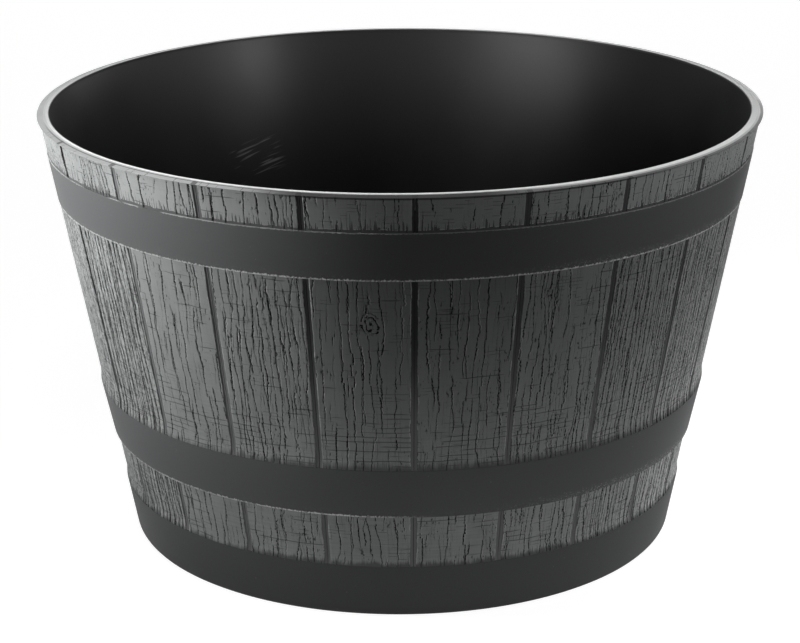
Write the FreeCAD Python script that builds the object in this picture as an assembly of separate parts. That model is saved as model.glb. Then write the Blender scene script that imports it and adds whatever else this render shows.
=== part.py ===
import FreeCAD, Part
import math
import os

# Barrel planter: a black moulded tub dressed with wood-look staves, bound by three hoops and
# capped by a rim ring. Millimetres, +Z up. The origin is on the ground, at the centre of the
# footprint, and the front of the planter faces -Y.

# Body: the outer face of the staves lies on a cone, measured at the ground and at full height
height = 340.0
top_radius = 278.6
base_radius = 214.5

# Clearances: between curved faces, and above each hoop in its seat
fit_gap = 0.3
seat_gap = 0.2

# Staves: the first joint is turned from the front towards +X, in degrees
stave_count = 22
first_joint_turn = 2.0
stave_thickness = 4.4
stave_gap = 0.4
groove_width = 4.4
groove_depth = 0.8

# Upper hoop: let into the staves almost flush, hung below the top of the rim
upper_hoop_drop = 27.7
upper_hoop_width = 36.6
upper_hoop_proud = 0.6

# Lower hoop: steeper than the wall, so it stands further out at its top edge
lower_hoop_rise = 42.5
lower_hoop_width = 39.5
lower_hoop_proud_top = 1.9
lower_hoop_proud_bottom = 0.8
hoop_thickness = 2.8
hoop_edge_round = 0.6

# Staves next to the lower hoops: they swell out to meet a hoop's top edge, and are drawn in
# between the lower hoop and the base hoop
lower_flare_length = 14.0
base_flare_length = 9.5
waist_inset = 1.4

# Base hoop: an angle ring, its band outside the stave feet and its flange under them
base_hoop_width = 43.5
base_hoop_thickness = 2.5
base_hoop_proud = 0.2
foot_thickness = 5.0
foot_width = 30.0
foot_round = 7.0

# Rim ring: level on its inner half, sloped down to a thin outer edge, with a tongue that drops
# between the staves and the tub
rim_thickness = 1.6
rim_overhang = 1.4
rim_inner_lip = 0.6
rim_inner_round = 0.5
rim_slope_width = 4.6
rim_slope_drop = 1.2
rim_slope_round = 5.0
rim_edge_round = 0.15
tongue_length = 10.0
tongue_thickness = 1.4

# Tub
tub_wall = 2.2
tub_floor = 4.0
tub_corner_round = 8.0

# Drains and their plugs
drain_hole_radius = 11.0
drain_circle_radius = 110.0
plug_head_radius = 16.0
plug_head_thickness = 3.0
plug_head_round = 1.2
plug_stem_reach = 2.0
plug_stem_taper = 1.0
plug_knob_radius = 5.5
plug_knob_height = 7.0
plug_knob_round = 2.0

# Levels and spans that follow from the sizes above
slope = (top_radius - base_radius) / height
pitch = 360.0 / stave_count
wall_top = height - rim_thickness
upper_hoop_top = height - upper_hoop_drop
upper_hoop_bottom = upper_hoop_top - upper_hoop_width
lower_hoop_bottom = base_hoop_width + lower_hoop_rise
lower_hoop_top = lower_hoop_bottom + lower_hoop_width
floor_top = foot_thickness + tub_floor

ORIGIN = FreeCAD.Vector(0, 0, 0)
UP = FreeCAD.Vector(0, 0, 1)
FRONT_ANGLE = -90.0


def cone(level):
    """Radius of the staves' nominal outer face at a level."""
    return base_radius + slope * level


def stave_back(level):
    return cone(level) - stave_thickness


def tub_outside(level):
    return stave_back(level) - fit_gap


def tub_inside(level):
    return tub_outside(level) - tub_wall


def point(radius, level):
    return FreeCAD.Vector(radius, 0, level)


def rounded_section(corners):
    """Closed face in the XZ plane through (radius, level, rounding) corners."""
    joints = []
    for index, (radius, level, rounding) in enumerate(corners):
        here = point(radius, level)
        before = point(*corners[index - 1][:2])
        after = point(*corners[(index + 1) % len(corners)][:2])
        to_before = (before - here).normalize()
        to_after = (after - here).normalize()
        half_angle = to_before.getAngle(to_after) / 2
        reach = rounding / math.tan(half_angle)
        middle = (to_before + to_after).normalize()
        dip = rounding / math.sin(half_angle) - rounding
        joints.append((here + to_before * reach, here + middle * dip, here + to_after * reach))
    edges = []
    for index, (start, crown, end) in enumerate(joints):
        if corners[index][2] > 0:
            edges.append(Part.Arc(start, crown, end).toShape())
        edges.append(Part.LineSegment(end, joints[(index + 1) % len(joints)][0]).toShape())
    return Part.Face(Part.Wire(edges))


def turned(face, angle=360.0):
    """Solid swept by turning a section about the planter's axis."""
    return face.revolve(ORIGIN, UP, angle)


def lower_proud(level):
    """How far the lower hoop's outer face stands off the cone, from its bottom to its top edge."""
    share = (level - lower_hoop_bottom) / lower_hoop_width
    return lower_hoop_proud_bottom + share * (lower_hoop_proud_top - lower_hoop_proud_bottom)


def upper_face(level):
    return cone(level) + upper_hoop_proud


def lower_face(level):
    return cone(level) + lower_proud(level)


def base_face(level):
    return cone(level) + base_hoop_proud


def flare(level, length, start_offset, end_offset):
    """Arc up a stave's face: it leaves a hoop's top edge and runs out tangent to the wall."""
    middle = level + length / 2
    end = level + length
    mid_offset = end_offset + (start_offset - end_offset) / 4
    return Part.Arc(
        point(cone(level) + start_offset, level),
        point(cone(middle) + mid_offset, middle),
        point(cone(end) + end_offset, end),
    ).toShape()


def seat(face_at, thickness, bottom, top):
    """Floor of the recess that a hoop lies in, as points from its bottom to its top."""
    depth = thickness + fit_gap
    return [point(face_at(bottom) - depth, bottom), point(face_at(top) - depth, top)]


def polyline(points):
    return Part.makePolygon(points).Edges


def stave_section():
    """Radial section of a stave: foot, three hoop seats, two flares and the rebate for the rim."""
    base_top = base_hoop_width + seat_gap
    lower_top = lower_hoop_top + seat_gap
    upper_top = upper_hoop_top + seat_gap
    tongue_bottom = wall_top - tongue_length - seat_gap
    rebate = tongue_thickness + fit_gap
    base_flare_end = base_top + base_flare_length
    lower_flare_end = lower_top + lower_flare_length
    lower_swell = lower_face(lower_top) - cone(lower_top)

    foot = [point(stave_back(foot_thickness), foot_thickness)]
    foot += seat(base_face, base_hoop_thickness, foot_thickness, base_top)
    foot.append(point(base_face(base_top), base_top))

    waist = [point(cone(base_flare_end) - waist_inset, base_flare_end)]
    waist.append(point(cone(lower_hoop_bottom) - waist_inset, lower_hoop_bottom))
    waist += seat(lower_face, hoop_thickness, lower_hoop_bottom, lower_top)
    waist.append(point(lower_face(lower_top), lower_top))

    body = [point(cone(lower_flare_end), lower_flare_end)]
    body.append(point(cone(upper_hoop_bottom), upper_hoop_bottom))
    body += seat(upper_face, hoop_thickness, upper_hoop_bottom, upper_top)
    body.append(point(cone(upper_top), upper_top))
    body.append(point(cone(wall_top), wall_top))
    body.append(point(stave_back(wall_top) + rebate, wall_top))
    body.append(point(stave_back(tongue_bottom) + rebate, tongue_bottom))
    body.append(point(stave_back(tongue_bottom), tongue_bottom))
    body.append(foot[0])

    edges = polyline(foot)
    edges.append(flare(base_top, base_flare_length, base_hoop_proud, -waist_inset))
    edges += polyline(waist)
    edges.append(flare(lower_top, lower_flare_length, lower_swell, 0.0))
    edges += polyline(body)
    return Part.Face(Part.Wire(edges))


def joint_cutters():
    """Groove and slit at one stave joint, in the plane of angle 0."""
    outside = top_radius + stave_thickness
    base_flare_end = base_hoop_width + base_flare_length
    lower_flare_end = lower_hoop_top + lower_flare_length
    face_line = [
        (foot_thickness, base_hoop_proud),
        (base_hoop_width, base_hoop_proud),
        (base_flare_end, -waist_inset),
        (lower_hoop_bottom, -waist_inset),
        (lower_hoop_top, lower_hoop_proud_top),
        (lower_flare_end, 0.0),
        (wall_top, 0.0),
    ]
    bed = [point(cone(level) + offset - groove_depth, level) for level, offset in face_line]
    bed += [point(outside, wall_top), point(outside, foot_thickness), bed[0]]
    groove = Part.Face(Part.makePolygon(bed)).extrude(FreeCAD.Vector(0, groove_width, 0))
    groove.translate(FreeCAD.Vector(0, -groove_width / 2, 0))
    slit = Part.makeBox(outside, stave_gap, height, FreeCAD.Vector(0, -stave_gap / 2, 0))
    return [groove, slit]


def make_stave():
    """One stave, between the joints at angles 0 and one pitch."""
    stave = turned(stave_section(), pitch)
    near = joint_cutters()
    far = [cutter.rotated(ORIGIN, UP, pitch) for cutter in near]
    return stave.cut(near + far)


def make_upper_hoop():
    return turned(rounded_section([
        (upper_face(upper_hoop_bottom), upper_hoop_bottom, hoop_edge_round),
        (upper_face(upper_hoop_top), upper_hoop_top, hoop_edge_round),
        (upper_face(upper_hoop_top) - hoop_thickness, upper_hoop_top, 0),
        (upper_face(upper_hoop_bottom) - hoop_thickness, upper_hoop_bottom, 0),
    ]))


def make_lower_hoop():
    return turned(rounded_section([
        (lower_face(lower_hoop_bottom), lower_hoop_bottom, hoop_edge_round),
        (lower_face(lower_hoop_top), lower_hoop_top, hoop_edge_round),
        (lower_face(lower_hoop_top) - hoop_thickness, lower_hoop_top, 0),
        (lower_face(lower_hoop_bottom) - hoop_thickness, lower_hoop_bottom, 0),
    ]))


def make_base_hoop():
    """Band round the stave feet, and the flange that the staves and the tub stand on."""
    return turned(rounded_section([
        (base_face(0), 0, foot_round),
        (base_face(base_hoop_width), base_hoop_width, hoop_edge_round),
        (base_face(base_hoop_width) - base_hoop_thickness, base_hoop_width, 0),
        (base_face(foot_thickness) - base_hoop_thickness, foot_thickness, 0),
        (base_face(0) - foot_width, foot_thickness, 0),
        (base_face(0) - foot_width, 0, 0),
    ]))


def make_rim_ring():
    """Ring over the staves and the tub, sloped on its outer half and located by its tongue."""
    outer = cone(height) + rim_overhang
    inner = tub_inside(wall_top) - rim_inner_lip
    tongue_bottom = wall_top - tongue_length
    return turned(rounded_section([
        (inner, wall_top, 0),
        (inner, height, rim_inner_round),
        (outer - rim_slope_width, height, rim_slope_round),
        (outer, height - rim_slope_drop, rim_edge_round),
        (outer, wall_top, rim_edge_round),
        (stave_back(wall_top) + tongue_thickness, wall_top, 0),
        (stave_back(tongue_bottom) + tongue_thickness, tongue_bottom, 0),
        (stave_back(tongue_bottom), tongue_bottom, 0),
        (stave_back(wall_top), wall_top, 0),
    ]))


def drain_centre(angle):
    turn = math.radians(angle)
    return FreeCAD.Vector(math.cos(turn), math.sin(turn), 0) * drain_circle_radius


def make_tub(drain_angles):
    """Tapered tub with a rounded floor corner, open at the top and pierced by the drains."""
    tub = turned(rounded_section([
        (0, foot_thickness, 0),
        (tub_outside(foot_thickness), foot_thickness, tub_corner_round + tub_wall),
        (tub_outside(wall_top), wall_top, 0),
        (tub_inside(wall_top), wall_top, 0),
        (tub_inside(floor_top), floor_top, tub_corner_round),
        (0, floor_top, 0),
    ]))
    for angle in drain_angles:
        tub = tub.cut(Part.makeCylinder(drain_hole_radius, floor_top, drain_centre(angle)))
    return tub


def make_plug():
    """Push-in drain plug: tapered stem through the floor, flat head on it and a knob to pull."""
    stem_bottom = foot_thickness - plug_stem_reach
    stem_radius = drain_hole_radius - fit_gap
    head_top = floor_top + plug_head_thickness
    return turned(rounded_section([
        (0, stem_bottom, 0),
        (stem_radius - plug_stem_taper, stem_bottom, 0),
        (stem_radius, floor_top, 0),
        (plug_head_radius, floor_top, 0),
        (plug_head_radius, head_top, plug_head_round),
        (plug_knob_radius, head_top, 0),
        (plug_knob_radius, head_top + plug_knob_height, plug_knob_round),
        (0, head_top + plug_knob_height, 0),
    ]))


def save(shape, node):
    shape.exportStep(os.path.join("parts", node + ".step"))


os.makedirs("parts", exist_ok=True)

drain_angles = {"front": FRONT_ANGLE, "right": 0.0, "back": 90.0, "left": 180.0}
save(make_tub(drain_angles.values()), "tub")
plug = make_plug()
for side, angle in drain_angles.items():
    save(plug.translated(drain_centre(angle)), "drain_plug_" + side)

stave = make_stave()
for number in range(stave_count):
    turn = FRONT_ANGLE + first_joint_turn + number * pitch
    save(stave.rotated(ORIGIN, UP, turn), "stave_%02d" % (number + 1))

save(make_base_hoop(), "base_hoop")
save(make_lower_hoop(), "lower_hoop")
save(make_upper_hoop(), "upper_hoop")
save(make_rim_ring(), "rim_ring")
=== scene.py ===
import math

import bmesh
import bpy
from mathutils import Matrix, Vector


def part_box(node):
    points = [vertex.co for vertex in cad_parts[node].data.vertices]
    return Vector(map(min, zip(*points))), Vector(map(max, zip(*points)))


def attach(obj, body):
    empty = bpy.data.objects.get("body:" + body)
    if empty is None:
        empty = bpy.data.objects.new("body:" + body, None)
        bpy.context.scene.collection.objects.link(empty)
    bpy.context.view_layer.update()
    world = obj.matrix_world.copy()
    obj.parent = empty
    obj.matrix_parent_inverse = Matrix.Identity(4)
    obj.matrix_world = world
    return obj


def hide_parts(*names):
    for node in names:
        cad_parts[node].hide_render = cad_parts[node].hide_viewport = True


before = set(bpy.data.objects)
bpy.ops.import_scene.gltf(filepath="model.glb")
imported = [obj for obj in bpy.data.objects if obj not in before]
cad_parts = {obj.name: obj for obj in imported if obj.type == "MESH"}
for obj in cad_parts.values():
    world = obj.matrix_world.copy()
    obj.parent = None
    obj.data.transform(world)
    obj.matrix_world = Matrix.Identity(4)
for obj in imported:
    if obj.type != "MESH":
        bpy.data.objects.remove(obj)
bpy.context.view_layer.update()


# Tub: the black inner pot that holds the soil. It is a thin tapered moulding with a rounded floor
# corner and drain holes, dropped inside the staves until its floor stands on the foot flange.
MM = 0.001
ROUND_STEPS = 288
AXIS_REACH = 1e-6
SHARP_ANGLE = math.radians(40)
base_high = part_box("base_hoop")[1]
upper_low, upper_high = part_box("upper_hoop")
rim_low, rim_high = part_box("rim_ring")
tub_low, tub_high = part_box("tub")
UPPER_HOOP_PROUD = 0.6 * MM
BASE_HOOP_PROUD = 0.2 * MM
STAVE_THICKNESS = 4.4 * MM
FIT_GAP = 0.3 * MM
TUB_WALL = 2.2 * MM
TUB_FLOOR = 4.0 * MM
TUB_CORNER = 8.0 * MM
TUB_CORNER_STEPS = 10
DRAIN_RADIUS = 11.0 * MM
DRILL_LENGTH = 60 * MM
DRILL_STEPS = 64
# Middle of the scuffs, painted pale as glints, on the tub's wall, in millimetres, and their slant: run
# round the wall and rise
SCUFF_RADIUS = 250
SCUFF_ASIDE = 129
SCUFF_LEVEL = 238
SCUFF_RUN = 0.97
SCUFF_RISE = 0.24
# Half of the scuffs' length and height: where they end and where they begin to fade
SCUFF_LENGTH = (27, 15)
SCUFF_HEIGHT = (18, 10)
TUB_BLACK = (0.004, 0.004, 0.0042)
TUB_BLACK_PALE = (0.007, 0.007, 0.0073)
DUST_GREY = (0.05, 0.05, 0.05)
# Painted light on the tub's left wall and painted shade on its right wall
TUB_LEFT_PAINTED_LIGHT = (0.012, 0.012, 0.0122)
TUB_RIGHT_PAINTED_SHADE = (0.002, 0.002, 0.002)
# Pale grey of the scuffs, which paints glints of light on them
SCUFF_GLINT_GREY = (0.1, 0.1, 0.1)
upper_wall_radius = upper_high.x - UPPER_HOOP_PROUD
base_wall_radius = base_high.x - BASE_HOOP_PROUD
wall_slope = (upper_wall_radius - base_wall_radius) / (upper_high.z - base_high.z)
ground_radius = base_wall_radius - wall_slope * base_high.z


def wall(level):
    """Radius of the staves' plain outer face at a level."""
    return ground_radius + wall_slope * level


def soft_outline(corners, steps=6):
    """Points of a closed outline through (radius, level, rounding) corners."""
    points = []
    for index, (radius, level, rounding) in enumerate(corners):
        here = Vector((radius, level))
        if not rounding:
            points.append(here)
            continue
        to_before = (Vector(corners[index - 1][:2]) - here).normalized()
        to_after = (Vector(corners[(index + 1) % len(corners)][:2]) - here).normalized()
        half_angle = to_before.angle(to_after) / 2
        centre = here + (to_before + to_after).normalized() * (rounding / math.sin(half_angle))
        reach = rounding / math.tan(half_angle)
        start = here + to_before * reach - centre
        end = here + to_after * reach - centre
        for step in range(steps + 1):
            points.append(centre + start.lerp(end, step / steps).normalized() * rounding)
    return points


def lathe(name, outline, segments=ROUND_STEPS):
    """Closed mesh object made by turning an outline of (radius, level) points about the axis."""
    mesh = bmesh.new()
    turns = [2 * math.pi * step / segments for step in range(segments)]
    columns = []
    for radius, level in outline:
        if radius < AXIS_REACH:
            columns.append([mesh.verts.new((0, 0, level))] * segments)
        else:
            columns.append([
                mesh.verts.new((radius * math.cos(turn), radius * math.sin(turn), level))
                for turn in turns
            ])
    for index, column in enumerate(columns):
        following = columns[(index + 1) % len(columns)]
        for step in range(segments):
            after = (step + 1) % segments
            ring = [column[step], column[after], following[after], following[step]]
            face = list(dict.fromkeys(ring))
            if len(face) > 2:
                mesh.faces.new(face)
    bmesh.ops.recalc_face_normals(mesh, faces=mesh.faces)
    data = bpy.data.meshes.new(name)
    mesh.to_mesh(data)
    mesh.free()
    return finished(name, data)


def finished(name, data):
    """Object of a final mesh, smooth but for its real corners."""
    data.shade_smooth()
    data.set_sharp_from_angle(angle=SHARP_ANGLE)
    piece = bpy.data.objects.new(name, data)
    bpy.context.scene.collection.objects.link(piece)
    return piece


class Field:
    """A number that varies over a surface, worked out by the nodes of one tree."""

    def __init__(self, tree, socket):
        self.tree = tree
        self.socket = socket

    def math(self, operation, *others):
        """Result of a math node on this number and the others."""
        node = self.tree.nodes.new("ShaderNodeMath")
        node.operation = operation
        for socket, value in zip(node.inputs, (self, *others)):
            feed(self.tree, socket, value)
        return Field(self.tree, node.outputs[0])

    def __add__(self, other):
        return self.math("ADD", other)

    def __sub__(self, other):
        return self.math("SUBTRACT", other)

    def __mul__(self, other):
        return self.math("MULTIPLY", other)

    def __truediv__(self, other):
        return self.math("DIVIDE", other)

    def ramp(self, start, end, low=0.0, high=1.0, smooth=True):
        """Runs from low to high as this number goes from start to end."""
        node = self.tree.nodes.new("ShaderNodeMapRange")
        node.interpolation_type = "SMOOTHSTEP" if smooth else "LINEAR"
        for socket, value in zip(node.inputs, (self, start, end, low, high)):
            feed(self.tree, socket, value)
        return Field(self.tree, node.outputs[0])

    def inverse(self):
        """What this number lacks of 1."""
        return self * -1.0 + 1.0

    def clamped(self):
        """This number, held between 0 and 1."""
        return self.math("MAXIMUM", 0.0).math("MINIMUM", 1.0)

    def off_line(self, spacing):
        """Distance to the nearest of evenly spaced lines, and the number of that line."""
        share = self / spacing
        line = share.math("ROUND")
        return (share - line).math("ABSOLUTE") * spacing, line


def feed(tree, socket, value):
    """Sets a socket to a plain value, or links a field to it."""
    if isinstance(value, Field):
        tree.links.new(value.socket, socket)
    else:
        socket.default_value = value


def patches(x, y, z, detail=2.0):
    """Soft random patches between 0 and 1, about one unit of x, y and z in size."""
    tree = x.tree
    where = tree.nodes.new("ShaderNodeCombineXYZ")
    for socket, value in zip(where.inputs, (x, y, z)):
        feed(tree, socket, value)
    texture = tree.nodes.new("ShaderNodeTexNoise")
    texture.inputs["Scale"].default_value = 1.0
    texture.inputs["Detail"].default_value = detail
    tree.links.new(where.outputs[0], texture.inputs["Vector"])
    return Field(tree, texture.outputs[0])


def blend_colours(tree, share, first, second):
    """Colour that goes from first to second as share goes from 0 to 1."""
    node = tree.nodes.new("ShaderNodeMix")
    node.data_type = "RGBA"
    feed(tree, node.inputs["Factor"], share)
    for socket, colour in ((node.inputs[6], first), (node.inputs[7], second)):
        if isinstance(colour, Field):
            tree.links.new(colour.socket, socket)
        else:
            socket.default_value = (*colour, 1.0)
    return Field(tree, node.outputs[2])


def new_finish(name):
    """New material, its shader and the place on the planter in millimetres: x right, y back, z up."""
    material = bpy.data.materials.new(name)
    material.use_nodes = True
    tree = material.node_tree
    shader = tree.nodes["Principled BSDF"]
    place = tree.nodes.new("ShaderNodeTexCoord")
    parts = tree.nodes.new("ShaderNodeSeparateXYZ")
    tree.links.new(place.outputs["Object"], parts.inputs[0])
    x, y, z = (Field(tree, socket) * (1 / MM) for socket in parts.outputs)
    return material, shader, x, y, z


def roughen(shader, tree, height, depth):
    """Fine relief of the surface: height runs from 0 to 1 over the given depth."""
    bump = tree.nodes.new("ShaderNodeBump")
    bump.inputs["Distance"].default_value = depth
    feed(tree, bump.inputs["Height"], height)
    tree.links.new(bump.outputs[0], shader.inputs["Normal"])


def tub_finish():
    """Satin black moulding with specks and with scuffs painted pale as glints, painted light at its left,
    and painted shade and less gloss at its right.
    """
    material, shader, x, y, z = new_finish("tub_black")
    tree = material.node_tree
    cloud = patches(x / 60, y / 60, z / 90, detail=3)
    dust = patches(x / 1.5, y / 1.5, z / 1.5).ramp(0.62, 0.8)
    colour = blend_colours(tree, cloud, TUB_BLACK, TUB_BLACK_PALE)
    colour = blend_colours(tree, dust * 0.1, colour, DUST_GREY)
    # Painted light makes the left wall paler, painted shade makes the right wall blacker low down
    colour = blend_colours(tree, x.ramp(-20, -160), colour, TUB_LEFT_PAINTED_LIGHT)
    colour = blend_colours(tree, x.ramp(60, 200) * z.ramp(320, 260), colour, TUB_RIGHT_PAINTED_SHADE)

    # A few slanting scuffs on the inside, towards the back left, painted pale as glints of light on them
    aside = x.math("ARCTAN2", y) * SCUFF_RADIUS + SCUFF_ASIDE
    above = z - SCUFF_LEVEL
    along = aside * SCUFF_RUN + above * SCUFF_RISE
    over = above * SCUFF_RUN - aside * SCUFF_RISE
    scuffed = along.math("ABSOLUTE").ramp(*SCUFF_LENGTH) * over.math("ABSOLUTE").ramp(*SCUFF_HEIGHT)
    scuff_glints = patches(along / 30, over / 2.4, 3.0, detail=1).ramp(0.54, 0.7) * scuffed
    colour = blend_colours(tree, scuff_glints, colour, SCUFF_GLINT_GREY)
    feed(tree, shader.inputs["Base Color"], colour)
    feed(tree, shader.inputs["Roughness"], cloud.ramp(0.2, 0.8, 0.32, 0.4))
    gloss = z.ramp(200, 340, 0.05, 0.27) * x.ramp(90, 220, 1.0, 0.5) + x.ramp(-20, -140, 0.0, 0.07)
    feed(tree, shader.inputs["Specular IOR Level"], gloss)
    roughen(shader, tree, patches(x / 0.9, y / 0.9, z / 0.9), 0.05 * MM)
    return material


def drain_centre(side):
    """Middle of a drain hole, from the plug that stands in it."""
    low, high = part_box("drain_plug_" + side)
    return (low + high) / 2


def pierce(piece, centres, radius):
    """Cuts round holes, up through the piece, at the given centres."""
    drills = []
    for centre in centres:
        drill = bmesh.new()
        bmesh.ops.create_cone(
            drill, cap_ends=True, segments=DRILL_STEPS, radius1=radius, radius2=radius, depth=DRILL_LENGTH,
            matrix=Matrix.Translation(centre),
        )
        data = bpy.data.meshes.new("drill")
        drill.to_mesh(data)
        drill.free()
        drills.append(bpy.data.objects.new("drill", data))
        bpy.context.scene.collection.objects.link(drills[-1])
        cut = piece.modifiers.new("drain", "BOOLEAN")
        cut.operation = "DIFFERENCE"
        cut.object = drills[-1]
    graph = bpy.context.evaluated_depsgraph_get()
    data = bpy.data.meshes.new_from_object(piece.evaluated_get(graph), depsgraph=graph)
    piece.modifiers.clear()
    piece.data = data
    for drill in drills:
        bpy.data.objects.remove(drill)


def tub_outside(level):
    """Radius of the tub's outer face at a level."""
    return wall(level) - STAVE_THICKNESS - FIT_GAP


def tub_inside(level):
    """Radius of the tub's inner face at a level."""
    return tub_outside(level) - TUB_WALL


DRAIN_SIDES = ("front", "right", "back", "left")
floor_top = tub_low.z + TUB_FLOOR
tub = lathe("tub_lining", soft_outline([
    (0, tub_low.z, 0),
    (tub_outside(tub_low.z), tub_low.z, TUB_CORNER + TUB_WALL),
    (tub_outside(tub_high.z), tub_high.z, 0),
    (tub_inside(tub_high.z), tub_high.z, 0),
    (tub_inside(floor_top), floor_top, TUB_CORNER),
    (0, floor_top, 0),
], steps=TUB_CORNER_STEPS))
pierce(tub, [drain_centre(side) for side in DRAIN_SIDES], DRAIN_RADIUS)
tub.data.materials.append(tub_finish())
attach(tub, "planter")
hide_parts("tub")


# Drain plugs: black rubber bungs pushed into the floor's drain holes from inside. Each has a tapered
# stem, a flat head that lies on the floor and a knob to pull it up by.
PLUG_HEAD_THICKNESS = 3.0 * MM
PLUG_KNOB_RADIUS = 5.5 * MM
PLUG_TAPER = 1.0 * MM
PLUG_TIP_ROUND = 0.8 * MM
PLUG_UNDERSIDE_ROUND = 0.4 * MM
PLUG_HEAD_ROUND = 1.2 * MM
PLUG_NECK_ROUND = 0.8 * MM
PLUG_KNOB_ROUND = 2.0 * MM
PLUG_STEPS = 96
RUBBER_BLACK = (0.012, 0.012, 0.012)
RUBBER_BLOOM = (0.03, 0.03, 0.029)


def rubber_finish():
    """Matt black rubber with pale bloom in its pores."""
    material, shader, x, y, z = new_finish("plug_rubber")
    tree = material.node_tree
    bloom = patches(x / 4, y / 4, z / 4, detail=4)
    colour = blend_colours(tree, bloom.ramp(0.35, 0.75), RUBBER_BLACK, RUBBER_BLOOM)
    feed(tree, shader.inputs["Base Color"], colour)
    feed(tree, shader.inputs["Roughness"], bloom.ramp(0.2, 0.8, 0.62, 0.8))
    roughen(shader, tree, patches(x / 0.5, y / 0.5, z / 0.5), 0.06 * MM)
    return material


rubber = rubber_finish()
stem_radius = DRAIN_RADIUS - FIT_GAP
head_top = floor_top + PLUG_HEAD_THICKNESS
for side in DRAIN_SIDES:
    plug_low, plug_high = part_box("drain_plug_" + side)
    head_radius = (plug_high.x - plug_low.x) / 2
    plug = lathe("plug_" + side, soft_outline([
        (0, plug_low.z, 0),
        (stem_radius - PLUG_TAPER, plug_low.z, PLUG_TIP_ROUND),
        (stem_radius, floor_top, 0),
        (head_radius, floor_top, PLUG_UNDERSIDE_ROUND),
        (head_radius, head_top, PLUG_HEAD_ROUND),
        (PLUG_KNOB_RADIUS, head_top, PLUG_NECK_ROUND),
        (PLUG_KNOB_RADIUS, plug_high.z, PLUG_KNOB_ROUND),
        (0, plug_high.z, 0),
    ]), segments=PLUG_STEPS)
    centre = drain_centre(side)
    plug.data.transform(Matrix.Translation((centre.x, centre.y, 0)))
    plug.data.materials.append(rubber)
    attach(plug, side + "_drain_plug")
    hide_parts("drain_plug_" + side)


# Staves: charcoal boards with a weathered wood relief of cracks, saw marks and knots, dry-brushed
# grey over their high spots. They stand edge to edge round the tub, their feet inside the base hoop.
stave_nodes = sorted(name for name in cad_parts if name.startswith("stave_"))
stave_pitch = 2 * math.pi / len(stave_nodes)
stave_low, stave_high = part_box(stave_nodes[0])
lower_low, lower_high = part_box("lower_hoop")
GROOVE_WIDTH = 4.4 * MM
GROOVE_DEPTH = 0.8 * MM
STAVE_GAP = 0.4 * MM
TONGUE_REBATE = 1.7 * MM
LOWER_SWELL = 1.9 * MM
LOWER_FLARE = 14.0 * MM
BASE_FLARE = 9.5 * MM
WAIST_INSET = 1.4 * MM
ROW_STEP = 1.5 * MM
FACE_COLUMNS = 200
BACK_COLUMNS = 8
# Stands in for a seat's floor where no hoop covers the face
OPEN_FACE = 1.0
HOOP_THICKNESS = 2.8 * MM
BASE_HOOP_THICKNESS = 2.5 * MM
LOWER_PROUD_BOTTOM = 0.8 * MM
base_seat = BASE_HOOP_PROUD - BASE_HOOP_THICKNESS - FIT_GAP
lower_seat_bottom = LOWER_PROUD_BOTTOM - HOOP_THICKNESS - FIT_GAP
lower_seat_top = LOWER_SWELL - HOOP_THICKNESS - FIT_GAP
upper_seat = UPPER_HOOP_PROUD - HOOP_THICKNESS - FIT_GAP
# A hoop's seat: its lowest and highest level, and how far its floor stands off the plain wall at each
HOOP_SEATS = (
    (stave_low.z, base_high.z, base_seat, base_seat),
    (lower_low.z, lower_high.z, lower_seat_bottom, lower_seat_top),
    (upper_low.z, upper_high.z, upper_seat, upper_seat),
)
# A board's long edge, from its back to its face: distance from the joint and depth below the face
EDGE_OUTLINE = (
    (STAVE_GAP / 2, STAVE_THICKNESS),
    (STAVE_GAP / 2, GROOVE_DEPTH),
    (GROOVE_WIDTH / 2 - 0.25 * MM, GROOVE_DEPTH),
    (GROOVE_WIDTH / 2 - 0.05 * MM, GROOVE_DEPTH - 0.2 * MM),
    (GROOVE_WIDTH / 2 + 0.05 * MM, 0.35 * MM),
    (GROOVE_WIDTH / 2 + 0.2 * MM, 0.12 * MM),
    (GROOVE_WIDTH / 2 + 0.5 * MM, 0.03 * MM),
)


def face_offset(level):
    """How far a stave's face stands off the plain wall: it swells above each of the lower hoops."""
    if level < lower_low.z + MM:
        rise = max(0.0, 1 - (level - base_high.z) / BASE_FLARE)
        return -WAIST_INSET + rise * rise * (WAIST_INSET + BASE_HOOP_PROUD)
    rise = max(0.0, 1 - (level - lower_high.z) / LOWER_FLARE)
    return rise * rise * LOWER_SWELL


def stave_rows():
    """Levels up a stave, each with its face's offset and the offset that a hoop's seat cuts it to."""
    rows = []
    for index, (bottom, top, bottom_floor, top_floor) in enumerate(HOOP_SEATS):
        rows.append((bottom, face_offset(bottom), bottom_floor))
        rows.append((top, face_offset(top), top_floor))
        band_top = HOOP_SEATS[index + 1][0] if index + 1 < len(HOOP_SEATS) else stave_high.z
        steps = round((band_top - top) / ROW_STEP)
        for step in range(steps + 1):
            level = top + (band_top - top) * step / steps
            rows.append((level, face_offset(level), OPEN_FACE))
    return rows


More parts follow.
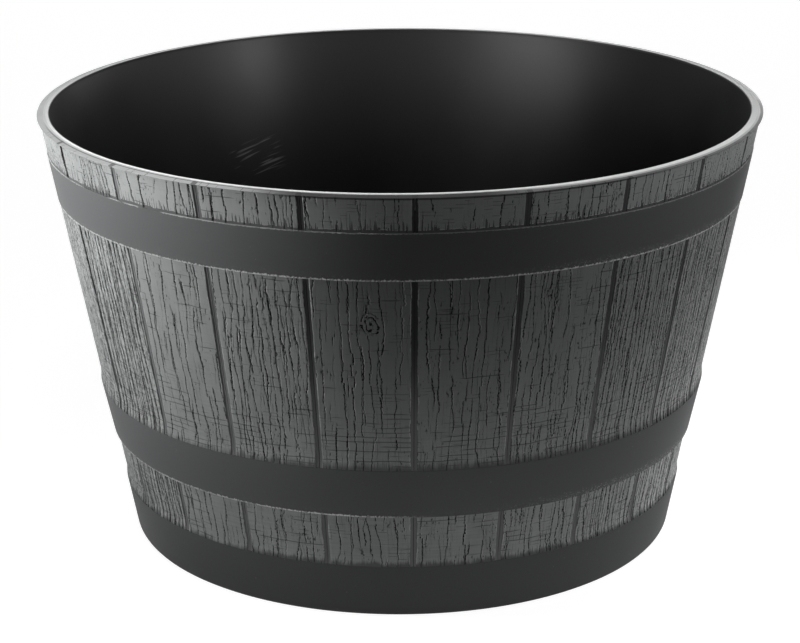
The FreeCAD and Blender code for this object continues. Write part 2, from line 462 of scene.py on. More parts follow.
def stave_blank():
    """One plain board about the +X direction, closed, with across, level and skin kept per point."""
    mesh = bmesh.new()
    across_layer = mesh.verts.layers.float.new("across")
    level_layer = mesh.verts.layers.float.new("level")
    skin_layer = mesh.verts.layers.float.new("skin")

    def put(radius, across, level, skin=0.0):
        """One point of the board, which keeps its place; skin is 1 on the face that is carved."""
        turn = across / wall(level)
        vert = mesh.verts.new((radius * math.cos(turn), radius * math.sin(turn), level))
        vert[across_layer] = across / MM
        vert[level_layer] = level / MM
        vert[skin_layer] = skin
        return vert

    front = []
    back = []
    for level, offset, floor_offset in stave_rows():
        half = wall(level) * stave_pitch / 2
        deepest = -STAVE_THICKNESS
        if level > rim_low.z - MM:
            deepest += TONGUE_REBATE
        edge = [
            (half - inset, max(deepest, min(offset - depth, floor_offset)))
            for inset, depth in EDGE_OUTLINE
        ]
        inner = half - EDGE_OUTLINE[-1][0]
        plain = min(offset, floor_offset)
        middle = [(inner * (2 * step / FACE_COLUMNS - 1), plain) for step in range(1, FACE_COLUMNS)]
        points = [(-across, lift) for across, lift in edge] + middle + edge[::-1]
        skin = float(floor_offset == OPEN_FACE)
        front.append([put(wall(level) + lift, across, level, skin) for across, lift in points])
        reach = half - STAVE_GAP / 2
        between = [reach * (2 * step / BACK_COLUMNS - 1) for step in range(1, BACK_COLUMNS)]
        inside = [put(wall(level) + deepest, across, level) for across in between]
        back.append([front[-1][0]] + inside + [front[-1][-1]])
        front[-1][0][skin_layer] = 0.0
        front[-1][-1][skin_layer] = 0.0
    for rows, flip in ((front, False), (back, True)):
        for lower, upper in zip(rows, rows[1:]):
            for column in range(len(lower) - 1):
                corners = [lower[column], lower[column + 1], upper[column + 1], upper[column]]
                mesh.faces.new(corners[::-1] if flip else corners)
    mesh.faces.new(front[-1] + back[-1][-2:0:-1])
    mesh.faces.new(back[0] + front[0][-2:0:-1])
    data = bpy.data.meshes.new("stave_blank")
    mesh.to_mesh(data)
    mesh.free()
    return data


def highest(first, *others):
    """The greatest of several fields."""
    for other in others:
        first = first.math("MAXIMUM", other)
    return first


def line_mark(half_width, distance, soft=0.14):
    """1 within a line of the given half width, 0 off it."""
    return ((distance * -1.0 + half_width) / soft).clamped()


def cracks(place, level, seed, spacing, half_width, length, least, jagged):
    """Ragged lines along the grain, each with its own wander, jogs and breaks, and a painted highlight on
    their lips.
    """
    share = place / spacing
    line = share.math("ROUND")
    aside = patches(line * 7.3, level / 45, seed, detail=1) - 0.5
    step = ((level + line * 3.3) / 9).math("FLOOR")
    jog = (patches(line * 5.9, step * 1.73, seed + 6, detail=0) - 0.5) * 3.2
    wiggle = (patches(line * 8.7, level / 2.4, seed + 7, detail=1) - 0.5) * 1.5
    offset = (share - line - aside) * spacing - (jog + wiggle) * jagged
    run = patches(line * 3.7, level / length, seed + 2, detail=1)
    run = ((run - least) * 25).clamped()
    run = run * patches(line * 6.1, level / 6, seed + 8, detail=1).ramp(0.29, 0.34)
    thick = patches(line * 9.1, level / 30, seed + 3, detail=1).ramp(0.3, 0.7, 0.6, 1.3)
    ragged = patches(line * 2.3, level / 1.4, seed + 9, detail=0).ramp(0.25, 0.75, 0.72, 1.28)
    width = run * thick * ragged * half_width
    lip_glints = line_mark(run * 0.25, (offset - half_width - 0.45).math("ABSOLUTE"))
    return line_mark(width, offset.math("ABSOLUTE")), lip_glints


def edge_wander(level, side, seed):
    """How far a groove's edge strays from its line, in millimetres."""
    wide = (patches(level / 22, side * 9, seed + 111) - 0.5) * 1.2
    return wide + (patches(level / 2.4, side * 9, seed + 117) - 0.5) * 0.6


def from_joint(across, level):
    """Distance from the joint with the next board, in millimetres."""
    half_at_ground = ground_radius / MM * stave_pitch / 2
    return level * (wall_slope * stave_pitch / 2) + half_at_ground - across.math("ABSOLUTE")


# A board's bands change behind the hoops, from one to the other of these below a hoop's top
BAND_START = 20
BAND_END = 10
# How far a crack runs, in millimetres
LONG_RUN = 110
TOP_RUN = 45
CROSS_RUN = 60
HAIR_RUN = 36
# Saw lines and knots, in millimetres
RUNG_SPACING = 2.6
RUNG_HALF_WIDTH = 0.3
SCORE_SPACING = 3.9
SCORE_HALF_WIDTH = 0.45
RING_SPACING = 3.1
KNOT_RADIUS = 9.0
KNOT_EDGE = 8.4
HEART_RADIUS = 1.8
HEART_EDGE = 1.3


def above_hoop(level, hoop_top):
    """0 below a hoop and 1 above it."""
    return level.ramp(hoop_top / MM - BAND_START, hoop_top / MM - BAND_END)


def relief(across, level, seed, spacing, least, knot_x, knot_y, flecks):
    """Marks in a board's face: cracks and knot rings, hair cracks, pits, rungs, scores, and painted
    highlights on the crack lips.
    """
    top_end = above_hoop(level, upper_high.z)
    flecks = flecks * top_end.inverse()

    # Grain: lines that wander across the board and bend round the knot, straighter on flecked boards
    loose = spacing * (flecks * -1.6 + 1.0) / 6.6
    push = (knot_y * knot_y * -0.0022).math("EXPONENT")
    push = push * (knot_x.math("ABSOLUTE") * -0.065).math("EXPONENT")
    grain = across + (patches(across / 40, level / 150, seed) - 0.5) * loose * 14
    grain = grain + (patches(across / 11, level / 45, seed + 5) - 0.5) * loose * 3.2
    grain = grain + (patches(across / 4, level / 7, seed + 9) - 0.5) * 0.9
    grain = grain - (knot_x * 0.19).math("TANH") * push * 4.7
    stray = across + (patches(across / 22, level / 80, seed + 41) - 0.5) * loose * 13
    stray = stray + (patches(across / 4, level / 6, seed + 43) - 0.5) * 1.1

    # Cracks: long ones along the grain, strays that cross it, hair cracks between them, and pits
    least = least + (least * -0.6 + 0.34) * top_end
    broad = flecks * 0.8 + 0.35
    jagged = flecks * -2.0 + 1.0
    long_run = top_end * (TOP_RUN - LONG_RUN) + LONG_RUN
    long_cracks, long_lip_glints = cracks(grain, level, seed + 31, spacing, broad, long_run, least, jagged)
    cross_cracks, cross_lip_glints = cracks(
        stray, level, seed + 47, spacing * 1.7, broad * 0.9, CROSS_RUN, least + 0.04, jagged
    )
    between = grain + spacing * 0.5
    hair_least = least.math("MAXIMUM", 0.4) + 0.05
    hairs = cracks(between, level, seed + 53, spacing * 0.5, broad * 0.5, HAIR_RUN, hair_least, jagged)[0]
    pits = patches(across / 1.1, level / 2.8, seed + 61, detail=0).ramp(0.68, 0.74)
    pits = pits * patches(across / 18, level / 26, seed + 67).ramp(0.56, 0.62)

    # Saw lines: ladders of short rungs between neighbouring cracks, and long scores low on the board
    sawn = level + (patches(across / 24, level / 18, seed + 71) - 0.5) * 3
    rung_distance, rung = sawn.off_line(RUNG_SPACING)
    cell = (grain / spacing).math("FLOOR")
    rung_here = patches(cell * 4.3, rung * 3.1, seed + 77, detail=0).ramp(0.5, 0.56)
    rung_here = rung_here * patches(across / 22, level / 17, seed + 79).ramp(0.54, 0.62)
    rungs = line_mark(rung_here * RUNG_HALF_WIDTH, rung_distance)
    score_distance, score = sawn.off_line(SCORE_SPACING)
    in_waist = above_hoop(level, lower_high.z).inverse()
    score_least = level.ramp(150, 190, 0.47, 0.62) + in_waist * 0.09
    score_here = patches(score * 5.3, across / 34, seed + 83, detail=1) - score_least
    score_here = (score_here * 12).clamped()
    scores = line_mark(score_here * SCORE_HALF_WIDTH, score_distance)

    # Knot: a loose spiral of broken rings round a dark heart, which no crack crosses
    around = knot_y.math("ARCTAN2", knot_x) * (RING_SPACING / (2 * math.pi))
    ring = ((knot_x * knot_x) * 1.35 + knot_y * knot_y + knot_x * knot_y * 0.35).math("SQRT")
    ring = ring + (patches(across / 4, level / 5, seed + 91) - 0.5) * 7
    ring_distance = (ring + around).off_line(RING_SPACING)[0]
    in_knot = ring.ramp(KNOT_RADIUS, KNOT_EDGE)
    broken = patches(across / 3, level / 3, seed + 95, detail=1).ramp(0.36, 0.46)
    ring_width = patches(across / 4, level / 4, seed + 93, detail=1).ramp(0.35, 0.65, 0.35, 0.9)
    heart = ring.ramp(HEART_RADIUS, HEART_EDGE)
    rings = highest(line_mark(broken * ring_width, ring_distance), heart) * in_knot
    plain = in_knot.inverse()
    deep = highest(highest(long_cracks, cross_cracks) * plain, rings)
    lip_glints = highest(long_lip_glints, cross_lip_glints) * plain
    return deep, hairs * plain, pits * plain, rungs * plain, scores * plain, lip_glints


def named(tree, name):
    """A number that the blank keeps on its points."""
    node = tree.nodes.new("GeometryNodeInputNamedAttribute")
    node.inputs["Name"].default_value = name
    return Field(tree, node.outputs[0])


def joined(tree, x, y, z):
    """Vector socket of three fields."""
    node = tree.nodes.new("ShaderNodeCombineXYZ")
    for socket, value in zip(node.inputs, (x, y, z)):
        feed(tree, socket, value)
    return node.outputs[0]


def keep(tree, geometry, name, vector):
    """Stores a vector on the board's points for its paint to read."""
    node = tree.nodes.new("GeometryNodeStoreNamedAttribute")
    node.data_type = "FLOAT_VECTOR"
    node.inputs["Name"].default_value = name
    tree.links.new(vector, node.inputs["Value"])
    tree.links.new(geometry, node.inputs["Geometry"])
    return node.outputs[0]


# Depths of the marks in a board's face, in millimetres
CRACK_DEPTH = 0.9
HAIR_DEPTH = 0.35
PIT_DEPTH = 0.45
SAW_DEPTH = 0.15
UNEVEN_DEPTH = 0.35


def weathering():
    """Node tree that carves one board's cracks, knot and ragged edges and turns it to its place."""
    tree = bpy.data.node_groups.new("weathered_stave", "GeometryNodeTree")
    sizes = (
        "Turn", "Seed", "Crack Spacing", "Least Run", "Crack Depth",
        "Knot Across", "Knot Level", "Flecks", "Foot Tone", "Top Tone",
    )
    tree.interface.new_socket("Board", in_out="INPUT", socket_type="NodeSocketGeometry")
    for name in sizes:
        tree.interface.new_socket(name, in_out="INPUT", socket_type="NodeSocketFloat")
    tree.interface.new_socket("Finish", in_out="INPUT", socket_type="NodeSocketMaterial")
    tree.interface.new_socket("Board", in_out="OUTPUT", socket_type="NodeSocketGeometry")
    given = tree.nodes.new("NodeGroupInput")
    turn, seed, spacing, least, crack_depth, knot_across, knot_level, flecks, foot_tone, top_tone = (
        Field(tree, given.outputs[name]) for name in sizes
    )
    across = named(tree, "across")
    level = named(tree, "level")
    skin = named(tree, "skin")
    knot_x = across - knot_across
    knot_y = level - knot_level
    marks = relief(across, level, seed, spacing, least, knot_x, knot_y, flecks)
    deep, hairs, pits, rungs, scores = marks[:5]
    uneven = patches(across / 22, level / 90, seed + 97) - 0.5
    carved = highest(deep * crack_depth, hairs * HAIR_DEPTH, pits * PIT_DEPTH)
    depth = carved + highest(rungs, scores) * SAW_DEPTH - uneven * UNEVEN_DEPTH

    # The face goes in by the carved depth, and the groove's edges stray sideways
    inset = from_joint(across, level)
    side = across.math("SIGN")
    on_face = inset.ramp(GROOVE_WIDTH / 2 / MM + 0.5, GROOVE_WIDTH / 2 / MM + 1.6)
    near_edge = inset.ramp(1.2, 1.9) * inset.ramp(7.0, 3.0)
    aside = side * edge_wander(level, side, seed) * near_edge * skin
    inward = depth * on_face * skin * -1.0
    carve = tree.nodes.new("GeometryNodeSetPosition")
    shift = joined(tree, inward * MM, aside * MM, 0.0)
    tree.links.new(given.outputs["Board"], carve.inputs["Geometry"])
    tree.links.new(shift, carve.inputs["Offset"])
    board = keep(tree, carve.outputs[0], "grain", joined(tree, across, level, seed))
    board = keep(tree, board, "style", joined(tree, spacing, least, skin))
    board = keep(tree, board, "knot", joined(tree, knot_x, knot_y, flecks))
    board = keep(tree, board, "coat", joined(tree, foot_tone, top_tone, 0.0))

    spin = tree.nodes.new("ShaderNodeVectorRotate")
    spin.rotation_type = "Z_AXIS"
    place = tree.nodes.new("GeometryNodeInputPosition")
    tree.links.new(place.outputs[0], spin.inputs["Vector"])
    feed(tree, spin.inputs["Angle"], turn)
    stand = tree.nodes.new("GeometryNodeSetPosition")
    tree.links.new(board, stand.inputs["Geometry"])
    tree.links.new(spin.outputs[0], stand.inputs["Position"])
    realize = tree.nodes.new("GeometryNodeRealizeInstances")
    tree.links.new(stand.outputs[0], realize.inputs[0])
    coat = tree.nodes.new("GeometryNodeSetMaterial")
    tree.links.new(realize.outputs[0], coat.inputs["Geometry"])
    tree.links.new(given.outputs["Finish"], coat.inputs["Material"])
    result = tree.nodes.new("NodeGroupOutput")
    tree.links.new(coat.outputs[0], result.inputs[0])
    return tree


def kept(tree, name):
    """The three numbers of a vector that the weathering stored."""
    node = tree.nodes.new("ShaderNodeAttribute")
    node.attribute_name = name
    parts = tree.nodes.new("ShaderNodeSeparateXYZ")
    tree.links.new(node.outputs["Vector"], parts.inputs[0])
    return [Field(tree, socket) for socket in parts.outputs]


CHARCOAL = (0.125, 0.127, 0.129)
# Groove greys: painted light low down and at the left, painted shade high up
GROOVE_PAINTED_LIGHT_GREY = (0.2, 0.203, 0.206)
GROOVE_PAINTED_SHADE_GREY = (0.09, 0.091, 0.093)
# Near black of bare cracks and marks, darker than charcoal as painted shade in them, and of the painted
# shadows in grooves and along the rim
CRACK_AND_SHADOW_BLACK = (0.008, 0.008, 0.0085)
PAINT_DARK = (0.25, 0.261, 0.258)
PAINT_LIGHT = (0.37, 0.383, 0.379)
PAINT_TOP = (0.43, 0.442, 0.438)
PAINT_WORN = (0.5, 0.51, 0.505)
# Near white that paints glints of light on crack lips, paint lines and hoop edges
EDGE_GLINT_WHITE = (0.85, 0.86, 0.855)
STAVE_GLOSS = 0.08


def stave_finish():
    """Grey paint dry-brushed over charcoal, with fibre, brush strokes, flecks and bare cracks."""
    material, shader, x, y = new_finish("weathered_grey")[:4]
    tree = material.node_tree
    across, level, seed = kept(tree, "grain")
    spacing, least, skin = kept(tree, "style")
    knot_x, knot_y, flecks = kept(tree, "knot")
    foot_tone, top_tone = kept(tree, "coat")[:2]
    deep, hairs, pits, rungs, scores, lip_glints = relief(
        across, level, seed, spacing, least, knot_x, knot_y, flecks
    )

    # Grey paint with fibre, brush strokes and mottle, darker or lighter from board to board, with painted
    # shade at the tops of the front boards
    fibre = patches(across / 0.8, level / 20, seed, detail=3)
    strokes = patches(across / 30, level / 1.6, seed + 3, detail=3)
    mottle = patches(across / 16, level / 50, seed + 7, detail=3)
    brushed = level.ramp(140, 175, 0.5, 0.16)
    tone = (fibre - 0.5) * 0.3 + (strokes - 0.5) * brushed + (mottle - 0.5) * 0.6 + 0.5
    grey = blend_colours(tree, tone.ramp(0.15, 0.85, smooth=False), PAINT_DARK, PAINT_LIGHT)
    in_waist = above_hoop(level, lower_high.z).inverse()
    in_top = above_hoop(level, upper_high.z)
    up_body = level.ramp(lower_high.z / MM, upper_low.z / MM, smooth=False)
    # Boards go towards charcoal or towards worn paint from foot to top; at the tops of the front boards
    # this darkening is painted shade
    coat = (foot_tone + (top_tone - foot_tone) * up_body) * (in_top * -0.7 + 1.0)
    grey = blend_colours(tree, coat.ramp(0.0, -1.0, smooth=False), grey, CHARCOAL)
    grey = blend_colours(tree, coat.ramp(0.0, 1.0, smooth=False), grey, PAINT_WORN)

    # Painted highlights on the lips beside the cracks, whiter at the right, light and dark flecks on the
    # finely lined boards, a light top band
    glints_here = patches(across / 12, level / 20, seed + 125).ramp(0.46, 0.6)
    lip_glint_colour = blend_colours(tree, x.ramp(120, 220), PAINT_WORN, EDGE_GLINT_WHITE)
    grey = blend_colours(tree, lip_glints * highest(glints_here, flecks * 2.4), grey, lip_glint_colour)
    sparkle = patches(across / 0.9, level / 3.2, seed + 131, detail=1)
    below_hoop = in_top.inverse()
    grey = blend_colours(tree, sparkle.ramp(0.5, 0.62) * flecks * below_hoop * 2, grey, PAINT_WORN)
    grey = blend_colours(tree, in_top * x.ramp(-240, -180, 0.1, 0.45), grey, PAINT_TOP)
    flecked = sparkle.ramp(0.44, 0.34) * flecks * below_hoop
    filled = (flecks * below_hoop * 0.9).inverse()
    marks = highest(deep * filled, hairs * 0.6, pits * 0.7, rungs * 0.45, scores * 0.55, flecked)

    # Paint thins out in teeth a little above each hoop, and stops at the edge of the groove
    side = across.math("SIGN")
    inset = from_joint(across, level) + edge_wander(level, side, seed)
    drift = (patches(across / 5, level / 30, seed + 101) - 0.5) * 7
    teeth = (patches(across / 1.0, level / 20, seed + 103, detail=1) - 0.52).math("MAXIMUM", 0.0) * 45
    leftward = x.ramp(-40, -180)
    above_base = (level - base_high.z / MM + drift - teeth * 0.35 + leftward * 1.5).ramp(0.5, 4.5)
    above_lower = (level - lower_high.z / MM + drift - teeth * 0.35 + leftward * 3).ramp(0.0, 7.0)
    above_upper = (level - upper_high.z / MM + drift * 0.35 - teeth).ramp(1.8, 2.6)
    in_body = in_waist.inverse() - in_top
    reach = above_base * in_waist + above_lower * in_body + above_upper * in_top
    groove_edge = GROOVE_WIDTH / 2 / MM
    on_board = inset.ramp(groove_edge - 0.1, groove_edge + 0.3)
    worn_length = patches(level / 14, side * 5, seed + 121).ramp(0.44, 0.56)
    worn_edge = inset.ramp(groove_edge + 1.1, groove_edge + 0.5) * worn_length
    grey = blend_colours(tree, worn_edge, grey, PAINT_WORN)
    cover = reach * on_board * skin * (strokes * 0.3 + fibre * 0.3 + 0.7).math("MINIMUM", 1.0)

    # Grooves: painted light makes them paler low down and at the left, painted shade makes them black at
    # the far left and high up in the middle of the front
    groove = blend_colours(tree, level.ramp(150, 250) * x.ramp(-190, -90), GROOVE_PAINTED_LIGHT_GREY, GROOVE_PAINTED_SHADE_GREY)
    groove = blend_colours(tree, x.ramp(-200, -230), groove, CRACK_AND_SHADOW_BLACK)
    middle = x.math("ABSOLUTE").ramp(60, 30) * y.ramp(0, -100)
    groove = blend_colours(tree, middle * level.ramp(160, 240) * 0.65, groove, CRACK_AND_SHADOW_BLACK)
    bare = blend_colours(tree, on_board, groove, CHARCOAL)
    colour = blend_colours(tree, cover, bare, grey)
    # Paint line at the edge of the paint above the upper hoop, whitened towards the front and right as a
    # painted highlight
    paint_line_glint = reach.ramp(0.1, 0.45) * reach.ramp(0.95, 0.6) * in_top * on_board
    line_glint_colour = blend_colours(tree, x.ramp(-100, 60), PAINT_WORN, EDGE_GLINT_WHITE)
    colour = blend_colours(tree, paint_line_glint * 0.9, colour, line_glint_colour)

    # Painted shadow under the rim along the front, and the cracks bare, painted near black as the shade in
    # them
    rim_shadow = level.ramp(stave_high.z / MM - 1.9, stave_high.z / MM - 1.3)
    rim_shadow = rim_shadow * x.ramp(-100, -60) * x.ramp(210, 150)
    colour = blend_colours(tree, rim_shadow * 0.75, colour, CRACK_AND_SHADOW_BLACK)
    colour = blend_colours(tree, marks * on_board * reach.ramp(0.0, 1.0, 0.4, 1.0), colour, CRACK_AND_SHADOW_BLACK)
    feed(tree, shader.inputs["Base Color"], colour)
    feed(tree, shader.inputs["Roughness"], cover.ramp(0.0, 1.0, 0.7, 0.6))
    shader.inputs["Specular IOR Level"].default_value = STAVE_GLOSS
    roughen(shader, tree, fibre * 0.6 + strokes * 0.4, 0.06 * MM)
    return material


def facing(node):
    """Turn of a stave about the axis, from the middle of its solid."""
    middle = sum((vert.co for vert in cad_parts[node].data.vertices), Vector())
    return math.atan2(middle.y, middle.x)


def weathered_piece(node, blank, tree, settings):
    """Finished stave: the blank run through the weathering tree and made a plain mesh."""
    work = bpy.data.objects.new(node + "_work", blank)
    bpy.context.scene.collection.objects.link(work)
    modifier = work.modifiers.new("weathering", "NODES")
    modifier.node_group = tree
    for item in tree.interface.items_tree:
        if item.item_type == "SOCKET" and item.name in settings:
            modifier[item.identifier] = settings[item.name]
    graph = bpy.context.evaluated_depsgraph_get()
    evaluated = work.evaluated_get(graph)
    data = bpy.data.meshes.new_from_object(evaluated, preserve_all_data_layers=True, depsgraph=graph)
    work.modifiers.clear()
    bpy.data.objects.remove(work)
    return finished("weathered_" + node, data)


# Knots: how far across the board and how high, in millimetres; far below a board that has none
KNOTS = {"stave_22": (6.7, 242.0), "stave_08": (-9.0, 205.0), "stave_14": (11.0, 233.0)}
NO_KNOT = (0.0, -500.0)
# Crack spacing in millimetres, the least run of noise that cracks, and flecks: denser on some boards
PLAIN_GRAIN = (6.8, 0.46, 0.0)
MIXED_GRAIN = (5.4, 0.43, 0.0)
LINED_GRAIN = (4.6, 0.37, 0.15)
CORDUROY_GRAIN = (5.4, 0.22, 0.35)
GRAINS = {
    "stave_02": MIXED_GRAIN, "stave_03": LINED_GRAIN, "stave_04": CORDUROY_GRAIN,
    "stave_05": CORDUROY_GRAIN, "stave_09": LINED_GRAIN, "stave_12": MIXED_GRAIN,
    "stave_15": LINED_GRAIN, "stave_18": CORDUROY_GRAIN, "stave_19": CORDUROY_GRAIN,
    "stave_21": MIXED_GRAIN,
}
# Tone at a board's foot and top: 0 as mixed, towards -1 darker, towards 1 lighter; the dark tops of the
# front boards are painted shade
EVEN_TONE = (0.0, 0.0)
FOOT_AND_TOP_TONES = {
    "stave_18": (0.1, -0.15), "stave_19": (0.1, -0.1), "stave_20": (0.0, -0.05), "stave_21": (0.1, 0.0),
    "stave_22": (0.0, -0.6), "stave_01": (0.0, -0.6), "stave_02": (0.1, -0.25), "stave_03": (0.15, -0.2),
    "stave_04": (0.4, 0.05), "stave_05": (0.55, 0.3), "stave_06": (0.55, 0.3),
}
SEED_STEP = 13.7
blank = stave_blank()
weathering_tree = weathering()
stave_grey = stave_finish()
for number, node in enumerate(stave_nodes):
    knot_across, knot_level = KNOTS.get(node, NO_KNOT)
    crack_spacing, least_run, flecks = GRAINS.get(node, PLAIN_GRAIN)
    foot_tone, top_tone = FOOT_AND_TOP_TONES.get(node, EVEN_TONE)
    stave = weathered_piece(node, blank, weathering_tree, {
        "Turn": facing(node),
        "Seed": SEED_STEP * (number + 1),
        "Crack Spacing": crack_spacing,
        "Least Run": least_run,
        "Crack Depth": CRACK_DEPTH,
        "Knot Across": knot_across,
        "Knot Level": knot_level,
        "Flecks": flecks,
        "Foot Tone": foot_tone,
        "Top Tone": top_tone,
        "Finish": stave_grey,
    })
    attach(stave, "planter")
    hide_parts(node)


# Hoops: three charcoal bands let into the staves. The base hoop is an angle ring, whose flange carries
# the staves and the tub. Grey paint has caught on the lower edge of the two upper ones, whitened there as a
# painted highlight.
HOOP_EDGE_ROUND = 0.6 * MM
FOOT_THICKNESS = 5.0 * MM
FOOT_WIDTH = 30.0 * MM
FOOT_ROUND = 7.0 * MM
FOOT_EDGE_ROUND = 0.5 * MM
HOOP_STEPS = 512
BASE_SHADE = 0.8
HOOP_CLOUDING = 0.07
HOOP_GLOSS = 0.05
# An edge that is said to lie this far off a hoop leaves no paint on it
OFF_BELOW = 20 * MM
OFF_ABOVE = 70 * MM
# How far to the right the painted line of a hoop's lower edge runs, in millimetres
LINE_NOWHERE = -500
LINE_LEFT_HALF = -10
LINE_ALL_ROUND = 500


def hoop_finish(name, low, high, line_end, shade=1.0):
    """Satin charcoal, with grey paint caught in ragged lines along its edges and in specks at the right;
    the lower edge's line is whitened at the front and right as a painted highlight.
    """
    material, shader, x, y, z = new_finish(name)
    tree = material.node_tree
    cloud = patches(x / 70, y / 70, z / 70, detail=3)
    specks = patches(x / 0.8, y / 0.8, z / 0.8)
    rag = patches(x / 1.3, y / 1.3, z / 5, detail=2) - 0.45
    thin = patches(x / 30, y / 30, z / 90, detail=1).ramp(0.32, 0.44)
    beads = patches(x / 1.5, y / 1.5, z / 4, detail=1).ramp(0.4, 0.5, 0.35, 1.0)
    rise = z - low / MM
    fall = z * -1.0 + high / MM
    low_line = (rise - rag * 3.4).ramp(1.25, 0.9) * beads * x.ramp(line_end + 40, line_end - 40)
    high_line = (fall - rag * 2.2).ramp(0.7, 0.4) * thin
    right = x.ramp(60, 150, 0.15, 1.0)
    scatter = specks.ramp(0.54, 0.64) * (rise - rag * 14).ramp(6.5, 1.0) * right
    stray = patches(x / 1.2, y / 1.2, z / 1.2, detail=1).ramp(0.79, 0.82)
    worn = highest(high_line * 0.8, scatter * 0.8, stray * 0.6)
    darker = [(1 - HOOP_CLOUDING) * shade * share for share in CHARCOAL]
    lighter = [(1 + HOOP_CLOUDING) * shade * share for share in CHARCOAL]
    plain = blend_colours(tree, cloud, darker, lighter)
    colour = blend_colours(tree, worn, plain, PAINT_TOP)
    # Painted highlight: the lower edge's line runs from worn paint at the left to near white at the front
    # and right
    edge = blend_colours(tree, x.ramp(-170, -40), PAINT_WORN, EDGE_GLINT_WHITE)
    colour = blend_colours(tree, low_line, colour, edge)
    feed(tree, shader.inputs["Base Color"], colour)
    feed(tree, shader.inputs["Roughness"], cloud.ramp(0.2, 0.8, 0.6, 0.72))
    shader.inputs["Specular IOR Level"].default_value = HOOP_GLOSS
    roughen(shader, tree, specks, 0.04 * MM)
    return material


def hoop(node, corners, finish):
    """One hoop of the planter, turned from the corners of its section."""
    piece = lathe("band_" + node, soft_outline(corners), segments=HOOP_STEPS)
    piece.data.materials.append(finish)
    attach(piece, "planter")
    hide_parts(node)


def base_face(level):
    """Radius of the base hoop's outer face at a level."""
    return wall(level) + BASE_HOOP_PROUD


hoop("base_hoop", [
    (base_face(0), 0, FOOT_ROUND),
    (base_face(base_high.z), base_high.z, HOOP_EDGE_ROUND),
    (base_face(base_high.z) - BASE_HOOP_THICKNESS, base_high.z, 0),
    (base_face(FOOT_THICKNESS) - BASE_HOOP_THICKNESS, FOOT_THICKNESS, 0),
    (base_face(0) - FOOT_WIDTH, FOOT_THICKNESS, FOOT_EDGE_ROUND),
    (base_face(0) - FOOT_WIDTH, 0, FOOT_EDGE_ROUND),
], hoop_finish("base_charcoal", -OFF_BELOW, OFF_ABOVE, LINE_NOWHERE, BASE_SHADE))
hoop("lower_hoop", [
    (wall(lower_low.z) + LOWER_PROUD_BOTTOM, lower_low.z, HOOP_EDGE_ROUND),
    (wall(lower_high.z) + LOWER_SWELL, lower_high.z, HOOP_EDGE_ROUND),
    (wall(lower_high.z) + LOWER_SWELL - HOOP_THICKNESS, lower_high.z, 0),
    (wall(lower_low.z) + LOWER_PROUD_BOTTOM - HOOP_THICKNESS, lower_low.z, 0),
], hoop_finish("lower_charcoal", lower_low.z, lower_high.z + OFF_ABOVE, LINE_LEFT_HALF))
hoop("upper_hoop", [
    (wall(upper_low.z) + UPPER_HOOP_PROUD, upper_low.z, HOOP_EDGE_ROUND),
    (wall(upper_high.z) + UPPER_HOOP_PROUD, upper_high.z, HOOP_EDGE_ROUND),
    (wall(upper_high.z) + UPPER_HOOP_PROUD - HOOP_THICKNESS, upper_high.z, 0),
    (wall(upper_low.z) + UPPER_HOOP_PROUD - HOOP_THICKNESS, upper_low.z, 0),
], hoop_finish("upper_charcoal", upper_low.z, upper_high.z, LINE_ALL_ROUND))


# Rim ring: the light grey moulding that caps the staves and the tub, level inside and sloping to a thin
# outer edge. A tongue that drops between the two holds it, and its slope is painted like the boards.
RIM_THICKNESS = 1.6 * MM
RIM_INNER_LIP = 0.6 * MM
RIM_INNER_ROUND = 0.5 * MM
RIM_SLOPE_WIDTH = 4.6 * MM
RIM_SLOPE_DROP = 1.2 * MM
RIM_SLOPE_ROUND = 5.0 * MM
RIM_EDGE_ROUND = 0.15 * MM
TONGUE_THICKNESS = 1.4 * MM
RIM_GREY = (0.38, 0.388, 0.385)
RIM_GREY_PALE = (0.46, 0.468, 0.464)
RIM_SPECKS = (0.16, 0.163, 0.163)
SLOPE_GREY = (0.28, 0.286, 0.284)
# Painted shade on the rim's slope at the right and at the front
SLOPE_RIGHT_PAINTED_SHADE = (0.1, 0.102, 0.101)
SLOPE_FRONT_PAINTED_SHADE = (0.022, 0.0224, 0.0224)
# Painted highlight of the rim's bright line, at the back and at the front
HIGHLIGHT_BACK_GREY = (0.5, 0.51, 0.505)
HIGHLIGHT_FRONT_GREY = (0.76, 0.77, 0.765)
MOUTH_BLACK = (0.006, 0.006, 0.006)
# Bands of the rim, in millimetres from its inner edge: where each ends and where it begins to fade
MOUTH_EDGE = (0.9, 0.5)
HIGHLIGHT_BAND = (3.3, 2.5)
# At the right the bright line, a painted highlight, is wider by this much, and the slope's paint begins
# this much further out
HIGHLIGHT_WIDER_RIGHT = 2.4
SLOPE_LATER_RIGHT = 2.2
SLOPE_BLEND = 0.6
# Half width of the painted shadow of the gap under the rim's edge
GAP_SHADOW_HALF_WIDTH = 0.65
# Ticks on the rim's slope: where their pattern starts, their spacing and half width in millimetres
TICK_SEED = 3.0
TICK_SPACING = 6.8
TICK_HALF_WIDTH = 0.35
rim_under = rim_high.z - RIM_THICKNESS
rim_inner = tub_inside(rim_under) - RIM_INNER_LIP


